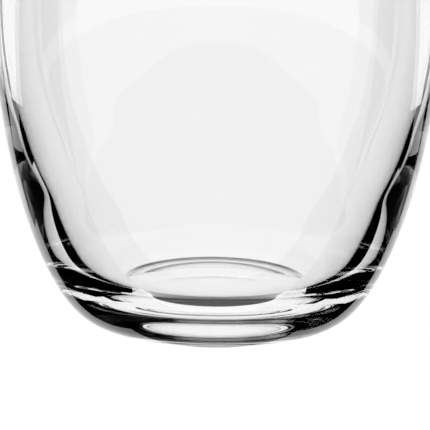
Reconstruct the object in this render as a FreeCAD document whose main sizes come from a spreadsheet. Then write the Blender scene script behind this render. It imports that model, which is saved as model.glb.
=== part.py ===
import FreeCAD, Part
import Sketcher
import os

# A mixing glass: one thick-walled vessel of clear glass with a heavy base, a curved
# flank, a widest level half way up, a slightly narrower rim and a pulled pouring lip.
# Millimetres, +Z up. The origin is the centre of the ring it stands on. The lip
# points along -X.

Vector = FreeCAD.Vector

SIZES = [
    # alias, value, meaning
    ("height", 150.0, "foot to rim"),
    ("belly_diameter", 99.0, "outside, at the widest level"),
    ("belly_height", 78.5, "level of the widest part"),
    ("rim_share", 0.92, "rim radius / belly radius"),
    ("ring_share", 0.46, "standing ring radius / belly radius"),
    ("heel_share", 0.633, "radius pole of the heel / belly radius"),
    ("heel_level", 0.03, "height pole of the heel / belly height"),
    ("flank_share", 0.684, "radius pole of the flank / belly radius"),
    ("flank_level", 0.053, "height pole of the flank / belly height"),
    ("bulge_level", 0.367, "height pole of the belly / belly height"),
    ("base_thickness", 9.4, "glass under the middle of the cavity"),
    ("belly_wall", 2.4, "wall at the widest level"),
    ("rim_wall", 2.3, "wall at the rim"),
    ("floor_share", 0.403, "flat of the cavity floor / cavity radius"),
    ("well_share", 0.60, "radius pole of the cavity heel / cavity radius"),
    ("well_level", 0.023, "height pole of the cavity heel / cavity depth to belly"),
    ("low_share", 0.722, "radius pole of the low inner flank"),
    ("low_level", 0.153, "height pole of the low inner flank"),
    ("middle_share", 0.834, "radius pole of the middle inner flank"),
    ("middle_level", 0.334, "height pole of the middle inner flank"),
    ("high_share", 0.921, "radius pole of the high inner flank"),
    ("high_level", 0.493, "height pole of the high inner flank"),
    ("cavity_level", 0.754, "height pole of the cavity belly"),
    ("ring_width", 0.9, "flat of the standing ring, outside the hollow under the base"),
    ("punt_depth", 1.8, "depth of that hollow"),
    ("punt_round", 5.0, "rounding of the standing ring's inner edge"),
    ("lip_reach", 7.0, "how far the pouring lip stands out of the rim"),
    ("lip_drop", 24.0, "height over which the lip leaves the wall"),
    ("lip_radius", 12.0, "outer radius of the lip at the rim"),
    ("lip_root", 7.0, "outer radius of the lip where it leaves the wall"),
    ("lip_blend", 5.0, "outer blend between lip and wall"),
    ("channel_blend", 5.0, "inner blend between the lip's channel and the wall"),
    ("rim_round", 0.9, "fire-polished rim edges"),
    ("overrun", 5.0, "how far the cutting shapes pass the rim"),
]

doc = FreeCAD.newDocument("mixing_glass")
sheet = doc.addObject("Spreadsheet::Sheet", "sizes")
for row, (alias, value, meaning) in enumerate(SIZES, start=1):
    sheet.set("A%d" % row, alias)
    sheet.set("B%d" % row, "%g" % value)
    sheet.set("C%d" % row, meaning)
    sheet.setAlias("B%d" % row, alias)
doc.recompute()

# start values for drawing the sketches; the expressions below hold the real sizes
size = {alias: value for alias, value, meaning in SIZES}
belly = size["belly_diameter"] / 2
cavity = belly - size["belly_wall"]
depth = size["belly_height"] - size["base_thickness"]

BELLY = "sizes.belly_diameter / 2"
CAVITY = "(sizes.belly_diameter / 2 - sizes.belly_wall)"
DEPTH = "(sizes.belly_height - sizes.base_thickness)"
RIM = "sizes.belly_diameter / 2 * sizes.rim_share"
RING = "sizes.belly_diameter / 2 * sizes.ring_share"
TOP = "(sizes.height + sizes.overrun)"

body = doc.addObject("PartDesign::Body", "glass_vessel")
body.Label = "glass_vessel"


def origin_plane(role):
    return [item for item in body.Origin.OriginFeatures if item.Role == role][0]


def new_sketch(name, role, level=None):
    """A sketch on one of the body's own planes, raised by the expression level."""
    sketch = body.newObject("Sketcher::SketchObject", name)
    sketch.AttachmentSupport = [(origin_plane(role), "")]
    sketch.MapMode = "FlatFace"
    if level:
        sketch.setExpression("AttachmentOffset.Base.z", level)
    return sketch


def hold(sketch, kind, geometry, point, name, start, expression):
    """Dimension one point from the sketch's origin, or one radius, and bind it."""
    if kind == "Radius":
        constraint = Sketcher.Constraint(kind, geometry, abs(start))
    else:
        constraint = Sketcher.Constraint(kind, -1, 1, geometry, point, start)
    index = sketch.addConstraint(constraint)
    sketch.renameConstraint(index, name)
    sketch.setExpression("Constraints." + name, expression)


def add_curve(sketch, name, poles, degree):
    """A spline whose control points are each held by two bound dimensions."""
    points = [Vector(pole[0], pole[2], 0) for pole in poles]
    knots = len(points) - degree + 1
    ends = [degree + 1] + [1] * (knots - 2) + [degree + 1]
    spline = Part.BSplineCurve()
    spline.buildFromPolesMultsKnots(points, ends, list(range(knots)), False, degree)
    curve = sketch.addGeometry(spline, False)
    sketch.exposeInternalGeometry(curve)
    for number, (across, across_text, up, up_text) in enumerate(poles):
        circle = curve + 1 + number
        where = "%s_%d" % (name, number)
        if across == 0:
            sketch.addConstraint(Sketcher.Constraint("PointOnObject", circle, 3, -2))
        else:
            hold(sketch, "DistanceX", circle, 3, where + "_out", across, across_text)
        if up == 0:
            sketch.addConstraint(Sketcher.Constraint("PointOnObject", circle, 3, -1))
        else:
            hold(sketch, "DistanceY", circle, 3, where + "_up", up, up_text)
    return curve


def add_line(sketch, start, end):
    return sketch.addGeometry(Part.LineSegment(Vector(*start, 0), Vector(*end, 0)), False)


def add_upper_wall(sketch, bottom, top):
    """An arc upright at the belly, with its centre on the belly's level."""
    lean = bottom[0] - top[0]
    rise = top[1] - bottom[1]
    radius = (lean ** 2 + rise ** 2) / (2 * lean)
    centre = Vector(bottom[0] - radius, bottom[1], 0)
    middle = Vector((bottom[0] + top[0]) / 2 + lean / 4, (bottom[1] + top[1]) / 2, 0)
    arc = Part.Arc(Vector(*bottom, 0), middle, Vector(*top, 0))
    number = sketch.addGeometry(arc, False)
    sketch.moveGeometry(number, 3, centre, False)
    hold(sketch, "DistanceY", number, 3, "wall_centre", bottom[1], "sizes.belly_height")
    return number


def join(sketch, first, first_end, second, second_end):
    sketch.addConstraint(
        Sketcher.Constraint("Coincident", first, first_end, second, second_end))


def revolve(kind, name, sketch):
    feature = body.newObject(kind, name)
    feature.Profile = sketch
    feature.ReferenceAxis = (sketch, ["V_Axis"])
    feature.Angle = 360.0
    doc.recompute()
    return feature


# outside: a flat foot, one curve over heel and flank to the belly, then the upper wall
outside = new_sketch("outer_profile", "XZ_Plane")
rim = belly * size["rim_share"]
ring = belly * size["ring_share"]
outer_curve = add_curve(outside, "flank", [
    (ring, RING, 0, ""),
    (belly * size["heel_share"], BELLY + " * sizes.heel_share",
     size["belly_height"] * size["heel_level"], "sizes.belly_height * sizes.heel_level"),
    (belly * size["flank_share"], BELLY + " * sizes.flank_share",
     size["belly_height"] * size["flank_level"], "sizes.belly_height * sizes.flank_level"),
    (belly, BELLY,
     size["belly_height"] * size["bulge_level"], "sizes.belly_height * sizes.bulge_level"),
    (belly, BELLY, size["belly_height"], "sizes.belly_height"),
], 4)
upper = add_upper_wall(outside, (belly, size["belly_height"]), (rim, size["height"]))
rim_line = add_line(outside, (rim, size["height"]), (0, size["height"]))
axis_line = add_line(outside, (0, size["height"]), (0, 0))
foot_line = add_line(outside, (0, 0), (ring, 0))
join(outside, outer_curve, 2, upper, 1)
join(outside, upper, 2, rim_line, 1)
join(outside, rim_line, 2, axis_line, 1)
join(outside, axis_line, 2, -1, 1)
join(outside, foot_line, 1, -1, 1)
join(outside, foot_line, 2, outer_curve, 1)
outside.addConstraint(Sketcher.Constraint("Horizontal", rim_line))
outside.addConstraint(Sketcher.Constraint("Vertical", axis_line))
hold(outside, "DistanceX", upper, 2, "rim_out", rim, RIM)
hold(outside, "DistanceY", upper, 2, "rim_up", size["height"], "sizes.height")
revolve("PartDesign::Revolution", "outer_form", outside)


def circle_section(name, level, centre, centre_text, radius, radius_text):
    """A circle on the lip's line, which runs out along -X."""
    section = new_sketch(name, "XY_Plane", level)
    circle = section.addGeometry(Part.Circle(Vector(centre, 0, 0), Vector(0, 0, 1), radius))
    section.addConstraint(Sketcher.Constraint("PointOnObject", circle, 3, -1))
    hold(section, "DistanceX", circle, 3, "centre_out", centre, centre_text)
    hold(section, "Radius", circle, 0, "radius", radius, radius_text)
    return section


def loft(kind, name, sections):
    feature = body.newObject(kind, name)
    feature.Profile = sections[0]
    feature.Sections = sections[1:]
    feature.Ruled = True
    doc.recompute()
    return feature


def edges_where(test):
    """Names of the body's edges whose shape passes the test."""
    return ["Edge%d" % number for number, edge in enumerate(body.Shape.Edges, start=1)
            if test(edge)]


def fillet(name, edges, radius):
    base = body.Tip
    feature = body.newObject("PartDesign::Fillet", name)
    feature.Base = (base, edges)
    feature.setExpression("Radius", radius)
    doc.recompute()
    return feature


# the pouring lip: a cone that leaves the wall below the rim and leans out to -X
reach = size["lip_reach"]
root_centre = -(rim - size["lip_root"])
lip_centre = -(rim + reach - size["lip_radius"])
ROOT_CENTRE = "-(%s - sizes.lip_root)" % RIM
LIP_CENTRE = "-(%s + sizes.lip_reach - sizes.lip_radius)" % RIM
low = circle_section("lip_low", "sizes.height - sizes.lip_drop",
                     root_centre, ROOT_CENTRE, size["lip_root"], "sizes.lip_root")
high = circle_section("lip_high", "sizes.height",
                      lip_centre, LIP_CENTRE, size["lip_radius"], "sizes.lip_radius")
loft("PartDesign::AdditiveLoft", "lip_form", [low, high])


def crease(radius):
    """A test for the seam between a lip form and a wall of this radius at the rim."""
    def test(edge):
        ends = [vertex.Point for vertex in edge.Vertexes]
        return (len(ends) == 2 and ends[0].x < 0 and edge.BoundBox.ZLength > 5
                and all(abs(end.z - size["height"]) < 0.01 for end in ends)
                and all(abs(Vector(end.x, end.y, 0).Length - radius) < 0.01 for end in ends))
    return test


fillet("lip_root_blend", edges_where(crease(rim)), "sizes.lip_blend")

# inside: a flat floor, a low heel, one curve up the flank, then the upper wall
inside = new_sketch("cavity_profile", "XZ_Plane")
mouth = rim - size["rim_wall"]
floor = size["base_thickness"]
poles = [(0, "", floor, "sizes.base_thickness"),
         (cavity * size["floor_share"], CAVITY + " * sizes.floor_share",
          floor, "sizes.base_thickness")]
for share, level in (("well_share", "well_level"), ("low_share", "low_level"),
                     ("middle_share", "middle_level"), ("high_share", "high_level"),
                     (None, "cavity_level"), (None, None)):
    across = cavity * (size[share] if share else 1)
    up = floor + depth * (size[level] if level else 1)
    across_text = CAVITY + (" * sizes." + share if share else "")
    up_text = "sizes.base_thickness + " + DEPTH + (" * sizes." + level if level else "")
    poles.append((across, across_text, up, up_text))
inner_curve = add_curve(inside, "cavity", poles, 3)
inner_upper = add_upper_wall(inside, (cavity, size["belly_height"]), (mouth, size["height"]))
throat = add_line(inside, (mouth, size["height"]), (mouth, size["height"] + size["overrun"]))
lid = add_line(inside, (mouth, size["height"] + size["overrun"]),
               (0, size["height"] + size["overrun"]))
core = add_line(inside, (0, size["height"] + size["overrun"]), (0, floor))
join(inside, inner_curve, 2, inner_upper, 1)
join(inside, inner_upper, 2, throat, 1)
join(inside, throat, 2, lid, 1)
join(inside, lid, 2, core, 1)
join(inside, core, 2, inner_curve, 1)
inside.addConstraint(Sketcher.Constraint("Vertical", throat))
inside.addConstraint(Sketcher.Constraint("Horizontal", lid))
inside.addConstraint(Sketcher.Constraint("Vertical", core))
hold(inside, "DistanceX", inner_upper, 2, "mouth_out", mouth, RIM + " - sizes.rim_wall")
hold(inside, "DistanceY", inner_upper, 2, "mouth_up", size["height"], "sizes.height")
hold(inside, "DistanceY", lid, 1, "lid_up", size["height"] + size["overrun"], TOP)
revolve("PartDesign::Groove", "cavity", inside)

# the lip's channel: the same cone, one wall thickness smaller, run on past the rim
run = (size["lip_drop"] + size["overrun"]) / size["lip_drop"]
RUN = "((sizes.lip_drop + sizes.overrun) / sizes.lip_drop)"
past_centre = root_centre + (lip_centre - root_centre) * run
PAST_CENTRE = "(%s) + ((%s) - (%s)) * %s" % (ROOT_CENTRE, LIP_CENTRE, ROOT_CENTRE, RUN)
past_radius = (size["lip_root"] + (size["lip_radius"] - size["lip_root"]) * run
               - size["rim_wall"])
PAST_RADIUS = ("sizes.lip_root + (sizes.lip_radius - sizes.lip_root) * %s"
               " - sizes.rim_wall" % RUN)
low = circle_section("channel_low", "sizes.height - sizes.lip_drop", root_centre,
                     ROOT_CENTRE, size["lip_root"] - size["rim_wall"],
                     "sizes.lip_root - sizes.rim_wall")
high = circle_section("channel_high", TOP, past_centre, PAST_CENTRE,
                      past_radius, PAST_RADIUS)
loft("PartDesign::SubtractiveLoft", "lip_channel", [low, high])
fillet("channel_blend", edges_where(crease(mouth)), "sizes.channel_blend")

# the hollow under the base, so that the glass stands on a ring
punt = new_sketch("punt_profile", "XZ_Plane")
punt_edge = ring - size["ring_width"]
roof = punt.addGeometry(Part.Arc(
    Vector(punt_edge, 0, 0),
    Vector(punt_edge / 2, size["punt_depth"] * 0.75, 0),
    Vector(0, size["punt_depth"], 0)))
core = add_line(punt, (0, size["punt_depth"]), (0, 0))
opening = add_line(punt, (0, 0), (punt_edge, 0))
join(punt, roof, 2, core, 1)
join(punt, core, 2, opening, 1)
join(punt, opening, 2, roof, 1)
join(punt, core, 2, -1, 1)
punt.addConstraint(Sketcher.Constraint("Vertical", core))
punt.addConstraint(Sketcher.Constraint("Horizontal", opening))
punt.addConstraint(Sketcher.Constraint("PointOnObject", roof, 3, -2))
hold(punt, "DistanceX", roof, 1, "punt_out", punt_edge, RING + " - sizes.ring_width")
hold(punt, "DistanceY", roof, 2, "punt_up", size["punt_depth"], "sizes.punt_depth")
revolve("PartDesign::Groove", "punt", punt)


def is_punt_edge(edge):
    box = edge.BoundBox
    return box.ZMax < 0.01 and abs(box.XLength / 2 - punt_edge) < 0.1


def is_rim_edge(edge):
    box = edge.BoundBox
    return box.ZMin > size["height"] - 0.02


fillet("standing_ring", edges_where(is_punt_edge), "sizes.punt_round")
fillet("rim_polish", edges_where(is_rim_edge), "sizes.rim_round")

# nothing is written unless every object is sound
for item in doc.Objects:
    if {"Invalid", "Error"} & set(item.State):
        raise RuntimeError("%s failed: %s" % (item.Name, item.State))
if body.Shape.isNull() or not body.Shape.isValid() or len(body.Shape.Solids) != 1:
    raise RuntimeError("glass_vessel is not one sound solid")

os.makedirs("parts", exist_ok=True)
body.Shape.exportStep("parts/%s.step" % body.Label)
print("box", body.Shape.optimalBoundingBox(True, False), "volume", round(body.Shape.Volume))
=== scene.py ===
import math

import bmesh
import bpy
from bpy.props import FloatProperty, FloatVectorProperty, IntProperty, PointerProperty
from bpy.types import Operator, Panel, PropertyGroup
from mathutils import Matrix, Quaternion, Vector


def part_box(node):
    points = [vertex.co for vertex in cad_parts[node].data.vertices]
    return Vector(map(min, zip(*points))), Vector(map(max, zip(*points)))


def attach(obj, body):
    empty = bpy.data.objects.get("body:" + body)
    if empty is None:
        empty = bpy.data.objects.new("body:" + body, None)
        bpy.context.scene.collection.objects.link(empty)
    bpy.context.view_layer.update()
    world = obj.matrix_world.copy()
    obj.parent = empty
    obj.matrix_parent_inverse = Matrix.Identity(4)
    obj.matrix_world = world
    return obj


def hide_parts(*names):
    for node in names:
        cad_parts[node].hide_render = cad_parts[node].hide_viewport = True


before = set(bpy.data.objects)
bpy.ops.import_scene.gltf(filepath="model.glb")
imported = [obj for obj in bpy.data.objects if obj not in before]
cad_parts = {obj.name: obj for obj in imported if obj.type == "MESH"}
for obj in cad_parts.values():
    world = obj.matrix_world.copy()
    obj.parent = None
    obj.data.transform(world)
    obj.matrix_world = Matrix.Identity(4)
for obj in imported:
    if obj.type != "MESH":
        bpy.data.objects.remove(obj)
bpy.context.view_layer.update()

bl_info = {
    "name": "Mixing glass",
    "version": (1, 0, 0),
    "blender": (4, 5, 0),
    "location": "3D View > Sidebar > Mixing glass",
    "description": "A heavy-based clear mixing glass with a pulled lip, on a lit table",
    "category": "Object",
}

NODE = "glass_vessel"
node_low, node_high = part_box(NODE)

# steps along each stretch of the half section
DOME_STEPS, RING_STEPS, OUTSIDE_STEPS = 24, 8, 110
UPPER_STEPS, RIM_STEPS, INSIDE_STEPS = 20, 10, 130
RIM_RISE = 0.45         # height of the rim's rounding, over the wall

# how the pouring lip leaves the wall
LIP_START_WIDTH = 0.62  # its width where it starts, over its width at the rim
LIP_FALLOFF = 1.1       # how fast it fades to the sides
LIP_CURVE = 1.6         # how much it keeps its reach for the top
LIP_BACK = 0.6          # where it begins round the rim, over the rim's radius
LIP_FADE = 0.3          # and over how much more it comes in

# the stage, in metres
TABLE_HALF = 6.0
TABLE_LEVEL = -5e-5     # a hair under the foot, and the flags a hair over the table
FLAG_LEVEL = -2e-5
HOOD_RISE_STEPS, HOOD_ROUND_STEPS, HOOD_TOP_STEPS = 18, 64, 48
CLIP_NEAR, CLIP_FAR = 0.1, 20.0
GLASS_BOUNCES = 32      # thick clear glass needs many before its light gets out


def length(name, description, millimetres):
    """A length property, given in millimetres and held in metres."""
    return FloatProperty(name=name, description=description,
                         default=millimetres / 1000, unit="LENGTH", precision=5)


def share(name, description, default):
    """A plain proportion."""
    return FloatProperty(name=name, description=description, default=default)


def angle(name, description, degrees):
    """An angle property, given in degrees and held in radians."""
    return FloatProperty(name=name, description=description,
                         default=math.radians(degrees), subtype="ANGLE", precision=3)


class VesselSizes(PropertyGroup):
    """Sizes of the vessel, the same as the solid's own."""

    height: FloatProperty(name="Height", description="Foot to rim",
                          default=node_high.z, unit="LENGTH")
    belly_radius: FloatProperty(name="Belly radius", description="Outside, at the widest level",
                                default=node_high.x, unit="LENGTH")
    belly_height: length("Belly height", "Level of the widest part", 78.5)
    rim_share: share("Rim share", "Rim radius over belly radius", 0.92)
    ring_share: share("Ring share", "Standing ring radius over belly radius", 0.46)
    heel_share: share("Heel share", "Radius pole of the heel", 0.633)
    heel_level: share("Heel level", "Height pole of the heel", 0.030)
    flank_share: share("Flank share", "Radius pole of the flank", 0.684)
    flank_level: share("Flank level", "Height pole of the flank", 0.053)
    bulge_level: share("Bulge level", "Height pole of the belly", 0.367)
    base_thickness: length("Base thickness", "Glass under the middle of the cavity", 9.4)
    belly_wall: length("Belly wall", "Wall at the widest level", 2.4)
    rim_wall: length("Rim wall", "Wall at the rim", 2.3)
    floor_share: share("Floor share", "Flat of the cavity floor", 0.403)
    well_share: share("Well share", "Radius pole of the cavity heel", 0.60)
    well_level: share("Well level", "Height pole of the cavity heel", 0.023)
    low_share: share("Low flank share", "Radius pole of the low inner flank", 0.722)
    low_level: share("Low flank level", "Height pole of the low inner flank", 0.153)
    middle_share: share("Middle flank share", "Radius pole of the middle inner flank", 0.834)
    middle_level: share("Middle flank level", "Height pole of the middle inner flank", 0.334)
    high_share: share("High flank share", "Radius pole of the high inner flank", 0.921)
    high_level: share("High flank level", "Height pole of the high inner flank", 0.493)
    cavity_level: share("Cavity level", "Height pole of the cavity belly", 0.754)
    ring_width: length("Ring width", "Standing ring, punt edge to heel", 0.9)
    punt_depth: length("Punt depth", "Hollow under the base", 1.8)
    punt_round: length("Punt rounding", "Rounding of the standing ring", 1.0)
    lip_reach: length("Lip reach", "How far the pouring lip stands out of the rim", 7.0)
    lip_drop: length("Lip drop", "Height over which the lip leaves the wall", 24.0)
    lip_width: length("Lip width", "Half width of the lip at the rim", 10.0)
    around: IntProperty(name="Segments", description="Steps round the vessel", default=256)


class GlassFinish(PropertyGroup):
    """The clear glass."""

    tint: FloatVectorProperty(name="Tint", description="Colour of the glass", subtype="COLOR",
                              default=(0.97, 0.97, 0.97), min=0, max=1)
    index: share("Refractive index", "How strongly the glass bends light", 1.5)


class Studio(PropertyGroup):
    """The lit table, the black flags and hood round it, and the camera."""

    glow: share("Glow", "Brightness of the lit table and the sweep behind it", 1.0)
    turn: angle("Camera turn", "Round the axis from the front; the flags turn with it", 45.0)

    left_edge: angle("Left edge", "Where the left flag and hood start, from straight back", 41)
    right_edge: angle("Right edge", "Where the right flag and hood start, in the same way", 36)
    flag_near: length("Flag near", "Half gap between the side flags at the glass", 36)
    flag_back: length("Flag back", "How far in front of the axis that gap lies", 5)
    narrow_from: length("Narrow from", "How far out the gap narrows", 60)
    narrow_edge: angle("Narrow edge", "Half angle of the gap from there", 30.5)
    flag_step: length("Flag step", "Where the side flags give way to the low gap", 140)
    flag_reach: length("Flag reach", "How far out the side flags run", 900)

    apron: length("Apron", "Where the front flag starts", 22.5)
    apron_half: length("Apron half width", "Half the width of that edge", 20.0)
    apron_reach: length("Apron reach", "How far out the front flag runs", 38)

    blade_bearing: angle("Blade bearing", "From straight back to each blade", 45.0)
    left_blade: length("Left blade", "Where the left blade starts, from the axis", 152)
    right_blade: length("Right blade", "Where the right blade starts", 140)
    blade_end: length("Blade end", "Where both blades end", 190)
    blade_height: length("Blade height", "How high both blades stand", 65)

    hood: length("Hood radius", "Radius of the black hood overhead", 2400)
    hood_low: angle("Hood edge", "How high the hood starts", 0.5)
    skirt_top: angle("Low gap top", "How high the wider gap near the table reaches", 6.0)
    low_edge: angle("Low gap edge", "Half width of that wider gap", 60)
    gap_top: angle("Gap top", "How high the gap behind the glass reaches", 76)

    elevation: angle("Camera elevation", "Above the table", 12.0)
    distance: length("Camera distance", "From the aim point", 3000)
    field: length("Field", "Width of the view at the aim point", 94.38)
    aim_height: length("Aim height", "Height of the aim point on the axis", 24.7)
    aim_side: length("Aim side", "Aim point right of the axis", -0.05)
    roll: angle("Camera roll", "About the line of sight", 0.7)


def spline(poles, degree, count):
    """Points on a clamped, evenly knotted spline through its end poles."""
    poles = [Vector(pole) for pole in poles]
    spans = len(poles) - degree
    knots = [0] * degree + list(range(spans + 1)) + [spans] * degree
    points = []
    for step in range(count + 1):
        at = spans * step / count
        first = min(int(at), spans - 1)
        near = [poles[first + index] for index in range(degree + 1)]
        for level in range(1, degree + 1):
            for index in range(degree, level - 1, -1):
                left = knots[first + index]
                right = knots[first + index + degree - level + 1]
                blend = (at - left) / (right - left)
                near[index] = near[index - 1].lerp(near[index], blend)
        points.append(near[degree])
    return points


def upper_wall(bottom, top, count):
    """An arc that is upright at the belly, from just above it to the rim."""
    lean, rise = bottom.x - top.x, top.y - bottom.y
    radius = (lean ** 2 + rise ** 2) / (2 * lean)
    turn = math.asin(rise / radius)
    return [Vector((bottom.x - radius + radius * math.cos(turn * step / count),
                    bottom.y + radius * math.sin(turn * step / count)))
            for step in range(1, count + 1)]


def underside(s):
    """The punt's dome from the axis out, then the rounded inside of the ring."""
    edge = s.belly_radius * s.ring_share - s.ring_width
    dome = (edge ** 2 + s.punt_depth ** 2) / (2 * s.punt_depth)
    turn = math.asin(edge / dome)
    points = [Vector((dome * math.sin(turn * step / DOME_STEPS),
                      dome * math.cos(turn * step / DOME_STEPS) - dome + s.punt_depth))
              for step in range(DOME_STEPS)]
    points = [point for point in points if point.x < edge - 0.9 * s.punt_round]
    start = points[-1]
    bend = Vector((edge - 0.45 * s.punt_round, 0))
    end = Vector((edge + 0.3 * s.punt_round, 0))
    for step in range(1, RING_STEPS + 1):
        t = step / RING_STEPS
        points.append(start * (1 - t) ** 2 + bend * 2 * t * (1 - t) + end * t * t)
    return points


def vessel_profile(s):
    """Half section of the glass, from under the axis round to the cavity floor."""
    rim = s.belly_radius * s.rim_share
    mouth = rim - s.rim_wall
    cavity = s.belly_radius - s.belly_wall
    depth = s.belly_height - s.base_thickness
    rise = RIM_RISE * s.rim_wall

    outside = spline([
        (s.belly_radius * s.ring_share, 0),
        (s.belly_radius * s.heel_share, s.belly_height * s.heel_level),
        (s.belly_radius * s.flank_share, s.belly_height * s.flank_level),
        (s.belly_radius, s.belly_height * s.bulge_level),
        (s.belly_radius, s.belly_height)], 4, OUTSIDE_STEPS)
    outside += upper_wall(outside[-1], Vector((rim, s.height - rise)), UPPER_STEPS)

    inside = spline([
        (0, s.base_thickness),
        (cavity * s.floor_share, s.base_thickness),
        (cavity * s.well_share, s.base_thickness + depth * s.well_level),
        (cavity * s.low_share, s.base_thickness + depth * s.low_level),
        (cavity * s.middle_share, s.base_thickness + depth * s.middle_level),
        (cavity * s.high_share, s.base_thickness + depth * s.high_level),
        (cavity, s.base_thickness + depth * s.cavity_level),
        (cavity, s.belly_height)], 3, INSIDE_STEPS)
    inside += upper_wall(inside[-1], Vector((mouth, s.height - rise)), UPPER_STEPS)

    middle, half = (rim + mouth) / 2, s.rim_wall / 2
    rounding = [Vector((middle + half * math.cos(math.pi * step / RIM_STEPS),
                        s.height + rise * (math.sin(math.pi * step / RIM_STEPS) - 1)))
                for step in range(1, RIM_STEPS)]
    return underside(s) + outside + rounding + inside[::-1]


def pull_lip(bm, s):
    """Draws the rim out to -X, most at the top and the middle, and fading smoothly."""
    rim = s.belly_radius * s.rim_share
    for vert in bm.verts:
        climb = (vert.co.z - (s.height - s.lip_drop)) / s.lip_drop
        if climb <= 0 or vert.co.x >= 0:
            continue
        climb = min(climb, 1.0)
        spread = s.lip_width * (LIP_START_WIDTH + (1 - LIP_START_WIDTH) * climb)
        across = math.exp(-(vert.co.y / spread) ** 2 * LIP_FALLOFF)
        depth = max(0.0, min(1.0, (-vert.co.x / rim - LIP_BACK) / LIP_FADE))
        vert.co.x -= s.lip_reach * climb ** LIP_CURVE * across * depth


def clear_glass(finish):
    """Clear colourless glass with a polished surface."""
    material = bpy.data.materials.new("clear_glass")
    material.use_nodes = True
    shader = material.node_tree.nodes["Principled BSDF"]
    shader.inputs["Base Color"].default_value = (*finish.tint, 1)
    shader.inputs["Roughness"].default_value = 0.0
    shader.inputs["IOR"].default_value = finish.index
    shader.inputs["Transmission Weight"].default_value = 1.0
    return material


def glow_material(name, strength):
    """An even glow, or at strength 0 dead black."""
    material = bpy.data.materials.new(name)
    material.use_nodes = True
    tree = material.node_tree
    tree.nodes.clear()
    emission = tree.nodes.new("ShaderNodeEmission")
    emission.inputs["Strength"].default_value = strength
    output = tree.nodes.new("ShaderNodeOutputMaterial")
    tree.links.new(emission.outputs["Emission"], output.inputs["Surface"])
    return material


def add_object(name, bm, material):
    mesh = bpy.data.meshes.new(name)
    bm.to_mesh(mesh)
    bm.free()
    mesh.materials.append(material)
    made = bpy.data.objects.new(name, mesh)
    bpy.context.scene.collection.objects.link(made)
    return made


def add_card(name, corners, level, turn, material):
    """A flat card on the table, from its corners in order, turned round the axis."""
    bm = bmesh.new()
    bm.faces.new([bm.verts.new((x, y, level)) for x, y in corners])
    bmesh.ops.rotate(bm, verts=bm.verts, cent=(0, 0, 0), matrix=Matrix.Rotation(turn, 3, "Z"))
    return add_object(name, bm, material)


def side_flag(s, name, sign, edge, black):
    """A flag beside the glass, which leaves a gap behind it."""
    corners = [(s.flag_near, -s.flag_back)]
    # outward along the gap's edge, in to its narrower edge, and on to the low gap's
    for reach, bearing in ((s.narrow_from, edge), (s.narrow_from, s.narrow_edge),
                           (s.flag_step, s.narrow_edge)):
        corners.append((s.flag_near + reach * math.sin(bearing),
                        reach * math.cos(bearing) - s.flag_back))
    for reach in (s.flag_step, s.flag_reach):
        corners.append((reach * math.sin(s.low_edge), reach * math.cos(s.low_edge)))
    corners += [(s.flag_reach, -s.apron_reach), (s.flag_near, -s.apron_reach)]
    return add_card(name, [(sign * x, y) for x, y in corners], FLAG_LEVEL, s.turn, black)


def blade(s, name, sign, start, black):
    """A small card on edge, which the side of the glass bends into a dark line."""
    bm = bmesh.new()
    bmesh.ops.create_grid(bm, x_segments=1, y_segments=1, size=0.5)
    bmesh.ops.scale(bm, verts=bm.verts, vec=(s.blade_end - start, s.blade_height, 1))
    bmesh.ops.translate(bm, verts=bm.verts,
                        vec=((s.blade_end + start) / 2, s.blade_height / 2, 0))
    bearing = s.turn + math.pi / 2 - sign * s.blade_bearing
    bmesh.ops.rotate(bm, verts=bm.verts, cent=(0, 0, 0),
                     matrix=Matrix.Rotation(bearing, 3, "Z") @ Matrix.Rotation(math.pi / 2, 3, "X"))
    return add_object(name, bm, black)


def front_flag(s, name, black):
    """The flag in front of the glass, cut back to a narrow edge under it."""
    wide, near, far = s.flag_near, s.apron, s.apron_reach
    corners = [(-wide, -s.flag_back), (-s.apron_half, -near), (s.apron_half, -near),
               (wide, -s.flag_back), (wide, -far), (-wide, -far)]
    return add_card(name, corners, FLAG_LEVEL, s.turn, black)


def hood_band(s, name, low, high, left, right, black):
    """A band of the hood between two heights, open behind the glass from left to right."""
    bm = bmesh.new()
    heights = [low + (high - low) * step / HOOD_RISE_STEPS for step in range(HOOD_RISE_STEPS + 1)]
    rise = [bm.verts.new((0, s.hood * math.cos(height), s.hood * math.sin(height)))
            for height in heights]
    seam = [bm.edges.new(pair) for pair in zip(rise, rise[1:])]
    bmesh.ops.rotate(bm, verts=rise, cent=(0, 0, 0),
                     matrix=Matrix.Rotation(s.turn - right, 3, "Z"))
    bmesh.ops.spin(bm, geom=rise + seam, cent=(0, 0, 0), axis=(0, 0, -1), dvec=(0, 0, 0),
                   angle=2 * math.pi - left - right, steps=HOOD_ROUND_STEPS,
                   use_merge=False, use_duplicate=False)
    return add_object(name, bm, black)


def hood_top(s, name, black):
    """The round top that closes the gap overhead."""
    bm = bmesh.new()
    bmesh.ops.create_circle(bm, cap_ends=True, segments=HOOD_TOP_STEPS,
                            radius=s.hood * math.cos(s.gap_top))
    bmesh.ops.translate(bm, verts=bm.verts, vec=(0, 0, s.hood * math.sin(s.gap_top)))
    return add_object(name, bm, black)


def add_camera(s):
    """The camera, aimed at the low part of the glass."""
    camera_data = bpy.data.cameras.new("camera")
    camera = bpy.data.objects.new("camera", camera_data)
    bpy.context.scene.collection.objects.link(camera)
    bpy.context.scene.camera = camera
    around = Matrix.Rotation(s.turn, 3, "Z")
    back = around @ Vector((0, -math.cos(s.elevation), math.sin(s.elevation)))
    camera.location = around @ Vector((s.aim_side, 0, s.aim_height)) + back * s.distance
    camera.rotation_mode = "QUATERNION"
    camera.rotation_quaternion = ((-back).to_track_quat("-Z", "Y")
                                  @ Quaternion((0, 0, 1), s.roll))
    camera_data.sensor_width = 36.0
    camera_data.lens = camera_data.sensor_width * s.distance / s.field
    camera_data.clip_start, camera_data.clip_end = CLIP_NEAR, CLIP_FAR


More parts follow.
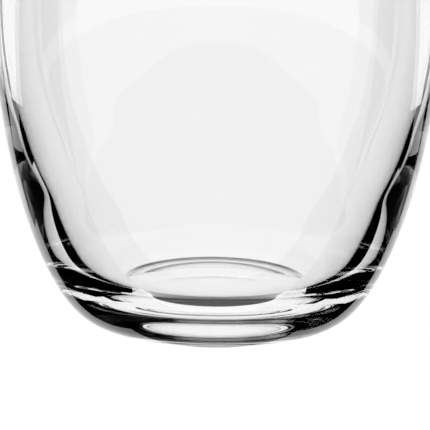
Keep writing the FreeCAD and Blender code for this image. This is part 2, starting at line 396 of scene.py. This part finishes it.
class MIXINGGLASS_OT_vessel(Operator):
    """Make the glass vessel"""

    bl_idname = "mixing_glass.vessel"
    bl_label = "Glass vessel"

    def execute(self, context):
        s = context.scene.vessel_sizes
        bm = bmesh.new()
        verts = [bm.verts.new((point.x, 0, point.y)) for point in vessel_profile(s)]
        edges = [bm.edges.new(pair) for pair in zip(verts, verts[1:])]
        bmesh.ops.spin(bm, geom=verts + edges, cent=(0, 0, 0), axis=(0, 0, 1), dvec=(0, 0, 0),
                       angle=2 * math.pi, steps=s.around, use_merge=True, use_duplicate=False)
        bmesh.ops.remove_doubles(bm, verts=bm.verts, dist=1e-7)
        bmesh.ops.recalc_face_normals(bm, faces=bm.faces)
        pull_lip(bm, s)
        for face in bm.faces:
            face.smooth = True
        vessel = add_object("glass_body", bm, clear_glass(context.scene.glass_finish))
        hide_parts(NODE)
        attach(vessel, "root")
        return {"FINISHED"}


class MIXINGGLASS_OT_stage(Operator):
    """Make the lit table, the black flags, the sweep and the camera"""

    bl_idname = "mixing_glass.stage"
    bl_label = "Table, light and camera"

    def execute(self, context):
        s = context.scene.studio
        lit = glow_material("lit_table", s.glow)
        black = glow_material("black_flag", 0.0)

        half = TABLE_HALF
        table = add_card("lit_table", [(-half, -half), (half, -half), (half, half), (-half, half)],
                         TABLE_LEVEL, s.turn, lit)
        flags = [
            side_flag(s, "flag_left", -1, s.left_edge, black),
            blade(s, "blade_left", -1, s.left_blade, black),
            side_flag(s, "flag_right", 1, s.right_edge, black),
            blade(s, "blade_right", 1, s.right_blade, black),
            front_flag(s, "flag_front", black),
            hood_band(s, "skirt", s.hood_low, s.skirt_top, s.low_edge, s.low_edge, black),
            hood_band(s, "hood", s.skirt_top, math.pi / 2, s.left_edge, s.right_edge, black),
            hood_top(s, "hood_top", black)]
        for flag in flags:
            flag.visible_camera = False

        world = bpy.data.worlds.new("sweep")
        context.scene.world = world
        world.use_nodes = True
        world.node_tree.nodes["Background"].inputs["Color"].default_value = (1, 1, 1, 1)
        world.node_tree.nodes["Background"].inputs["Strength"].default_value = s.glow

        add_camera(s)
        cycles = context.scene.cycles
        cycles.max_bounces = cycles.transmission_bounces = cycles.glossy_bounces = GLASS_BOUNCES
        context.scene.view_settings.view_transform = "Standard"
        return {"FINISHED"}


class MIXINGGLASS_PT_panel(Panel):
    """Lists the pieces"""

    bl_label = "Mixing glass"
    bl_idname = "MIXINGGLASS_PT_panel"
    bl_space_type = "VIEW_3D"
    bl_region_type = "UI"
    bl_category = "Mixing glass"

    def draw(self, context):
        for step in STEPS:
            self.layout.operator(step.bl_idname)


STEPS = (MIXINGGLASS_OT_vessel, MIXINGGLASS_OT_stage)
CLASSES = (VesselSizes, GlassFinish, Studio, *STEPS, MIXINGGLASS_PT_panel)


def register():
    for item in CLASSES:
        bpy.utils.register_class(item)
    bpy.types.Scene.vessel_sizes = PointerProperty(type=VesselSizes)
    bpy.types.Scene.glass_finish = PointerProperty(type=GlassFinish)
    bpy.types.Scene.studio = PointerProperty(type=Studio)


def unregister():
    del bpy.types.Scene.studio
    del bpy.types.Scene.glass_finish
    del bpy.types.Scene.vessel_sizes
    for item in reversed(CLASSES):
        bpy.utils.unregister_class(item)


def main():
    register()
    bpy.ops.mixing_glass.vessel()
    bpy.ops.mixing_glass.stage()


if __name__ == "__main__":
    main()
